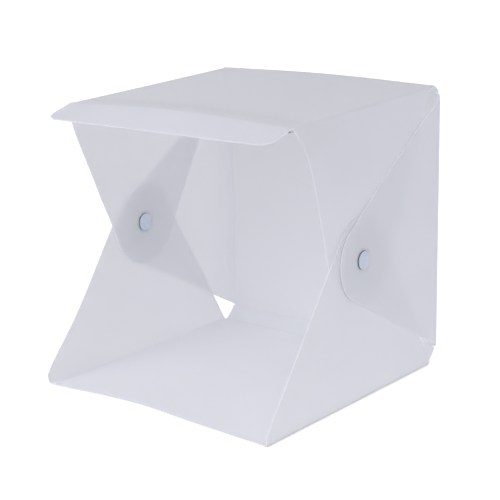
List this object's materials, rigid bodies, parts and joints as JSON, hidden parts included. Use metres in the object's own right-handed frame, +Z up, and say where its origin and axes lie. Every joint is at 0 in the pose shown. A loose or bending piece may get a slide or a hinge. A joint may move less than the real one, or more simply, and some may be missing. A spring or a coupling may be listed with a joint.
{
  "type": "light tent cube",
  "caption": "Folding light tent cube of one creased translucent sheet, with overlapping side wings closed by snaps, a short front flap and a light bar under the top.",
  "frame": {"origin": "on the table, under the middle of the tent's box", "axes": "+X to the right of someone who looks into the open front, +Y from the open front to the back, +Z up"},
  "size_m": [0.2384, 0.243, 0.2388],
  "materials": {
    "sheet": "satin translucent",
    "snap": "smooth moulded",
    "tape": "foam",
    "board": "satin",
    "plated": "plated",
    "lamp": "moulded with a phosphor window"
  },
  "bodies": {
    "base": {"base_panel": "sheet"},
    "back": {"back_panel": "sheet"},
    "top": {"top_panel": "sheet", "light_bar_tape": "tape", "light_bar_board": "board", "power_socket": "plated", "lamp_01": "lamp", "lamp_02": "lamp", "lamp_03": "lamp", "lamp_04": "lamp", "lamp_05": "lamp", "lamp_06": "lamp", "lamp_07": "lamp", "lamp_08": "lamp", "lamp_09": "lamp", "lamp_10": "lamp", "lamp_11": "lamp", "lamp_12": "lamp", "lamp_13": "lamp", "lamp_14": "lamp", "lamp_15": "lamp", "lamp_16": "lamp", "lamp_17": "lamp", "lamp_18": "lamp", "lamp_19": "lamp", "lamp_20": "lamp"},
    "flap": {"front_flap": "sheet"},
    "left_base_wing": {"left_base_wing": "sheet"},
    "right_base_wing": {"right_base_wing": "sheet"},
    "left_back_wing": {"left_back_wing": "sheet", "left_outer_cap": "snap", "left_snap_stud": "snap"},
    "right_back_wing": {"right_back_wing": "sheet", "right_outer_cap": "snap", "right_snap_stud": "snap"},
    "left_top_wing": {"left_top_wing": "sheet", "left_inner_cap": "snap", "left_snap_socket": "snap"},
    "right_top_wing": {"right_top_wing": "sheet", "right_inner_cap": "snap", "right_snap_socket": "snap"}
  },
  "joints": [
    {"name": "back_fold", "type": "hinge", "parent": "base", "child": "back", "pos_m": [0, 0.1211, 0.0004], "axis": [-1, 0, 0], "range_deg": [0, 35]},
    {"name": "top_fold", "type": "hinge", "parent": "back", "child": "top", "pos_m": [0, 0.1211, 0.2386], "axis": [-1, 0, 0], "range_deg": [0, 42]},
    {"name": "flap_fold", "type": "hinge", "parent": "top", "child": "flap", "pos_m": [0, -0.08294, 0.23179], "axis": [1, 0, 0], "range_deg": [-14.7, 75]},
    {"name": "left_base_wing_fold", "type": "hinge", "parent": "base", "child": "left_base_wing", "pos_m": [-0.113, 0, 0.0004], "axis": [0, -1, 0], "range_deg": [0, 87.5]},
    {"name": "right_base_wing_fold", "type": "hinge", "parent": "base", "child": "right_base_wing", "pos_m": [0.113, 0, 0.0004], "axis": [0, 1, 0], "range_deg": [0, 87.5]},
    {"name": "left_back_wing_fold", "type": "hinge", "parent": "back", "child": "left_back_wing", "pos_m": [-0.1152, 0.1211, 0.1195], "axis": [0, 0, -1], "range_deg": [0, 140]},
    {"name": "right_back_wing_fold", "type": "hinge", "parent": "back", "child": "right_back_wing", "pos_m": [0.1152, 0.1211, 0.1195], "axis": [0, 0, 1], "range_deg": [0, 140]},
    {"name": "left_top_wing_fold", "type": "hinge", "parent": "top", "child": "left_top_wing", "pos_m": [-0.1108, 0.1211, 0.2386], "axis": [0, 0.9995, 0.0314], "range_deg": [0, 49]},
    {"name": "right_top_wing_fold", "type": "hinge", "parent": "top", "child": "right_top_wing", "pos_m": [0.1108, 0.1211, 0.2386], "axis": [0, -0.9995, -0.0314], "range_deg": [0, 49]}
  ],
  "couplings": [
    {"joint": "top_fold", "follows": "back_fold", "ratio": 1.2},
    {"joint": "left_base_wing_fold", "follows": "back_fold", "ratio": 2.5},
    {"joint": "right_base_wing_fold", "follows": "back_fold", "ratio": 2.5},
    {"joint": "left_back_wing_fold", "follows": "back_fold", "ratio": 4},
    {"joint": "right_back_wing_fold", "follows": "back_fold", "ratio": 4},
    {"joint": "left_top_wing_fold", "follows": "back_fold", "ratio": 1.4},
    {"joint": "right_top_wing_fold", "follows": "back_fold", "ratio": 1.4}
  ]
}
